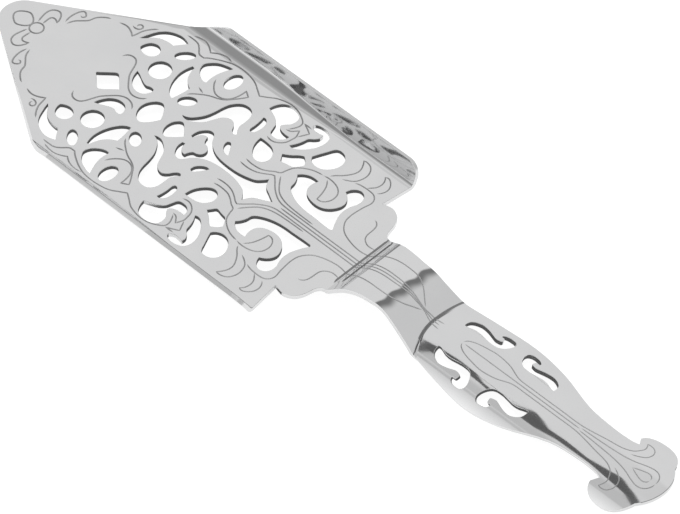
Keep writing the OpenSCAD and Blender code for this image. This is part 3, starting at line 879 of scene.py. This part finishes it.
def steel(name, grey, low, high, bump):
    """Steel of a grey, with fine polishing marks, and a roughness that goes from low to high over them."""
    material = bpy.data.materials.new(name)
    tree, shader = nodes_of(material)
    shader.inputs["Metallic"].default_value = 1
    place = tree.nodes.new("ShaderNodeTexCoord")
    stretch = tree.nodes.new("ShaderNodeMapping")
    stretch.inputs["Scale"].default_value = mark_scale
    marks = tree.nodes.new("ShaderNodeTexNoise")
    marks.inputs["Scale"].default_value = 1
    marks.inputs["Detail"].default_value = 4
    cloud = tree.nodes.new("ShaderNodeTexNoise")
    cloud.inputs["Scale"].default_value = cloud_scale
    cloud.inputs["Detail"].default_value = 3
    tint = tree.nodes.new("ShaderNodeValToRGB")
    for element, shares in zip(tint.color_ramp.elements, (cloud_dark, cloud_light)):
        element.color = tuple(grey * share for share in shares) + (1,)
    gloss = tree.nodes.new("ShaderNodeMapRange")
    gloss.inputs["To Min"].default_value = low
    gloss.inputs["To Max"].default_value = high
    raised = tree.nodes.new("ShaderNodeBump")
    raised.inputs["Strength"].default_value = bump
    raised.inputs["Distance"].default_value = mark_h
    link = tree.links.new
    link(place.outputs["Object"], stretch.inputs["Vector"])
    link(stretch.outputs["Vector"], marks.inputs["Vector"])
    link(place.outputs["Object"], cloud.inputs["Vector"])
    link(cloud.outputs["Fac"], tint.inputs["Fac"])
    link(tint.outputs["Color"], shader.inputs["Base Color"])
    link(marks.outputs["Fac"], gloss.inputs["Value"])
    link(gloss.outputs["Result"], shader.inputs["Roughness"])
    link(marks.outputs["Fac"], raised.inputs["Height"])
    link(raised.outputs["Normal"], shader.inputs["Normal"])
    return material


MATERIALS = [
    steel("polished_steel", 0.80, 0.04, 0.09, 0.02),
    steel("engraved_steel", 0.5, 0.35, 0.5, 0.1),
    steel("cut_steel", 0.64, 0.16, 0.26, 0.1),
    # Dark steel of painted shade
    steel("painted_shade_steel", 0.3, 0.3, 0.45, 0.1),
]


def make_pieces():
    """Makes one mesh for each node, in place of its solid."""
    sheet = Sheet()
    sheet.add_faces()
    sheet.add_rims()
    sheet.add_joints()
    for k, node in enumerate(NODES):
        data = sheet.pieces[k]
        used = sorted({i for face in data["faces"] for i in face})
        number = {i: n for n, i in enumerate(used)}
        mesh = bpy.data.meshes.new(node + "_sheet")
        faces = [[number[i] for i in face] for face in data["faces"]]
        mesh.from_pydata(sheet.verts[used] * MM + tip, [], faces)
        for material in MATERIALS:
            mesh.materials.append(material)
        mesh.polygons.foreach_set("material_index", data["mats"])
        mesh.polygons.foreach_set("use_smooth", [True] * len(faces))
        mesh.normals_split_custom_set([tuple(n) for n in data["normals"]])
        mesh.update()
        piece = bpy.data.objects.new(node + "_sheet", mesh)
        bpy.context.scene.collection.objects.link(piece)
        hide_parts(node)
        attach(piece, "root")


# Floor, light and camera
def make_floor():
    """Plain pale floor."""
    mesh = bpy.data.meshes.new("floor")
    size = 3
    corners = [(-size, -size, 0), (size, -size, 0), (size, size, 0), (-size, size, 0)]
    mesh.from_pydata(corners, [], [(0, 1, 2, 3)])
    floor = bpy.data.objects.new("floor", mesh)
    bpy.context.scene.collection.objects.link(floor)
    material = bpy.data.materials.new("pale_floor")
    _, shader = nodes_of(material)
    shader.inputs["Base Color"].default_value = (0.2, 0.2, 0.2, 1)
    shader.inputs["Roughness"].default_value = 0.9
    shader.inputs["Specular IOR Level"].default_value = 0
    shader.inputs["Emission Color"].default_value = (1, 1, 1, 1)
    shader.inputs["Emission Strength"].default_value = 0.92
    mesh.materials.append(material)


def make_card(name, points, axis, start, end, low, high):
    """Card that only the reflections in the metal see, so that it paints a reflection; its light goes from
    low to high along an axis.
    """
    mesh = bpy.data.meshes.new(name)
    places = [(tip[0] + x * MM, y * MM, z * MM) for x, y, z in points]
    mesh.from_pydata(places, [], [tuple(range(len(places)))])
    card = bpy.data.objects.new(name, mesh)
    bpy.context.scene.collection.objects.link(card)
    material = bpy.data.materials.new(name)
    tree, shader = nodes_of(material)
    shader.inputs["Base Color"].default_value = (0, 0, 0, 1)
    shader.inputs["Specular IOR Level"].default_value = 0
    shader.inputs["Emission Color"].default_value = (1, 1, 1, 1)
    place = tree.nodes.new("ShaderNodeTexCoord")
    split = tree.nodes.new("ShaderNodeSeparateXYZ")
    level = tree.nodes.new("ShaderNodeMapRange")
    level.inputs["From Min"].default_value = start * MM
    level.inputs["From Max"].default_value = end * MM
    level.inputs["To Min"].default_value = low
    level.inputs["To Max"].default_value = high
    tree.links.new(place.outputs["Object"], split.inputs["Vector"])
    tree.links.new(split.outputs[axis], level.inputs["Value"])
    tree.links.new(level.outputs["Result"], shader.inputs["Emission Strength"])
    mesh.materials.append(material)
    card.visible_camera = False
    card.visible_diffuse = False
    card.visible_shadow = False


# Outlines of the cards, in mm behind the tip and off the middle line. The one under the spoon is half of it.
UNDER_CARD = [(2, 3), (29, 17.5), (83, 17.5), (84, 11), (90, 6.5), (108, 5), (127, 7.5), (143, 3.5), (151, 3),
              (153, 7), (159, 5), (161, 1)]
HANDLE_FLAG = [(80, -11), (81, -11), (83, -2), (86, 0), (90, 4), (95, 3), (101, -1), (109, -1), (114, 3.5),
               (122, 4.5), (125, 3), (129, 1), (131.5, -0.5), (134, -7), (137, -9), (136, -2), (134.5, 3),
               (132.5, 7.5), (131, 9.5), (128, 15), (125, 12), (121, 8.5), (115, 10), (111, 8.5), (109, 13),
               (106, 17), (103, 8), (99, 5), (95, 6), (92.5, 11), (88, 12), (83, 9), (80, 5.5)]
HANDLE_REFLECTOR = [(62, -46), (140, -46), (140, -16), (62, -16)]

# Heights of the cards under and over the spoon, and the place of the upright ones beside the right wall
under_h = 0.3
over_h = 63
flag_y = -22.9
flag_x = (-70, 60)
flag_h = (6.5, 16, 200)

# Light of the cards, and where it begins and stops changing. The dark cards have the same light all over.
dark_card = 0.12
any_y = (-20, 20)
reflector_y = (-36, -16)
reflector_light = (1.1, 0.75)
flag_lit_from = 60
flag_light = (0.95, 0.33, 0.8)


def make_cards():
    """Cards that paint reflections: a dark card under the spoon that paints its shade into them, flags over
    the handle and beside the blade, and a reflector.
    """
    under = [(x, y, under_h) for x, y in UNDER_CARD]
    under += [(x, -y, z) for x, y, z in under[::-1]]
    make_card("under_spoon_shade_card", under, "Y", *any_y, dark_card, dark_card)
    over = [(x, y, over_h) for x, y in HANDLE_FLAG]
    make_card("handle_flag", over, "Y", *any_y, dark_card, dark_card)
    over = [(x, y, over_h) for x, y in HANDLE_REFLECTOR]
    make_card("handle_reflector", over, "Y", *reflector_y, *reflector_light)
    rows = [[(x, flag_y, z) for x in flag_x] for z in flag_h]
    make_card("wall_flag_low", rows[0] + rows[1][::-1], "Z", flag_h[0], flag_h[1], *flag_light[:2])
    make_card("wall_flag_high", rows[1] + rows[2][::-1], "Z", flag_lit_from, flag_h[2], *flag_light[1:])


# Greys of the studio at heights from straight down to straight up
SKY = [(-1, 0.3), (-0.1, 0.3), (-0.04, 0.78), (0.5, 0.8), (1, 0.8)]

# Zones of the studio that have a grey of their own, where the parts of a direction along the axes all hold
ZONES = [
    # Behind the handle
    (0.69, [("X", 0.1, 0.4)]),
    # Dark ceiling over the rear bend of the bridge
    (0.2, [("X", -0.42, -0.3), ("X", 0.38, -0.2), ("Y", 0.1, 0.25), ("Y", 0.6, 0.53)]),
    # Over the right side of the handle
    (0.6, [("Y", 0.12, 0.02), ("Z", 0.8, 0.85)]),
]


def share_along(tree, part, start, end):
    """Share that goes from 0 to 1 as a direction's part along an axis goes from start to end."""
    share = tree.nodes.new("ShaderNodeMapRange")
    share.interpolation_type = "SMOOTHSTEP"
    share.inputs["From Min"].default_value = min(start, end)
    share.inputs["From Max"].default_value = max(start, end)
    share.inputs["To Min"].default_value = 0 if start < end else 1
    share.inputs["To Max"].default_value = 1 if start < end else 0
    tree.links.new(part, share.inputs["Value"])
    return share.outputs["Result"]


def mixed(tree, colour, grey, shares):
    """The colour, turned to a grey where all the shares are 1."""
    link = tree.links.new
    mix = tree.nodes.new("ShaderNodeMix")
    mix.data_type = "RGBA"
    mix.inputs["B"].default_value = (grey, grey, grey, 1)
    total = shares[0]
    for other in shares[1:]:
        times = tree.nodes.new("ShaderNodeMath")
        times.operation = "MULTIPLY"
        link(total, times.inputs[0])
        link(other, times.inputs[1])
        total = times.outputs["Value"]
    link(total, mix.inputs["Factor"])
    link(colour, mix.inputs["A"])
    return mix.outputs["Result"]


def make_world():
    """Soft light all round, with the studio's greys."""
    world = bpy.data.worlds.new("studio")
    bpy.context.scene.world = world
    world.use_nodes = True
    tree = world.node_tree
    link = tree.links.new
    place = tree.nodes.new("ShaderNodeTexCoord")
    split = tree.nodes.new("ShaderNodeSeparateXYZ")
    height = tree.nodes.new("ShaderNodeMapRange")
    height.inputs["From Min"].default_value = -1
    height.inputs["From Max"].default_value = 1
    ramp = tree.nodes.new("ShaderNodeValToRGB")
    elements = ramp.color_ramp.elements
    for at, grey in SKY[1:-1]:
        elements.new((at + 1) / 2).color = (grey, grey, grey, 1)
    elements[0].color = (SKY[0][1],) * 3 + (1,)
    elements[-1].color = (SKY[-1][1],) * 3 + (1,)
    link(place.outputs["Generated"], split.inputs["Vector"])
    link(split.outputs["Z"], height.inputs["Value"])
    link(height.outputs["Result"], ramp.inputs["Fac"])
    colour = ramp.outputs["Color"]
    for grey, parts in ZONES:
        shares = [share_along(tree, split.outputs[axis], start, end) for axis, start, end in parts]
        colour = mixed(tree, colour, grey, shares)
    link(colour, tree.nodes["Background"].inputs["Color"])


def make_lamp():
    """Soft box over the spoon, which its reflections don't show."""
    lamp = bpy.data.lights.new("soft_box", "AREA")
    lamp.shape = "DISK"
    lamp.size = 1.2
    lamp.energy = 12
    box = bpy.data.objects.new("soft_box", lamp)
    box.location = (-0.2, 0.2, 1.2)
    box.rotation_euler = (Vector((0, 0, 0)) - box.location).to_track_quat("-Z", "Y").to_euler()
    box.visible_glossy = False
    bpy.context.scene.collection.objects.link(box)


def make_camera():
    """Camera at the photograph's place, with the pattern's centre at its pixel in the photograph."""
    picture = (680, 514)
    azimuth = math.radians(44.55)
    elevation = math.radians(48.6)
    focal = 5000
    distance = 897.7
    centre_pixel = (150.2, 111.8)
    back = Vector((
        math.sin(azimuth) * math.cos(elevation),
        -math.cos(azimuth) * math.cos(elevation),
        math.sin(elevation),
    ))
    right = Vector((math.cos(azimuth), math.sin(azimuth), 0))
    up = back.cross(right)
    across = (centre_pixel[0] - picture[0] / 2) * distance / focal
    high = -(centre_pixel[1] - picture[1] / 2) * distance / focal
    pattern = Vector(tip) + Vector((pattern_x * MM, 0, 0))
    place = pattern - MM * (across * right + high * up - distance * back)
    camera = bpy.data.cameras.new("camera")
    camera.sensor_width = 36
    camera.lens = focal * camera.sensor_width / picture[0]
    camera.clip_start = 0.05
    camera.clip_end = 20
    seen = bpy.data.objects.new("camera", camera)
    seen.matrix_world = Matrix((
        (right.x, up.x, back.x, place.x),
        (right.y, up.y, back.y, place.y),
        (right.z, up.z, back.z, place.z),
        (0, 0, 0, 1),
    ))
    bpy.context.scene.collection.objects.link(seen)
    bpy.context.scene.camera = seen


make_camera()
make_floor()
make_cards()
make_world()
make_lamp()
make_pieces()
bpy.context.scene.view_settings.view_transform = "Standard"
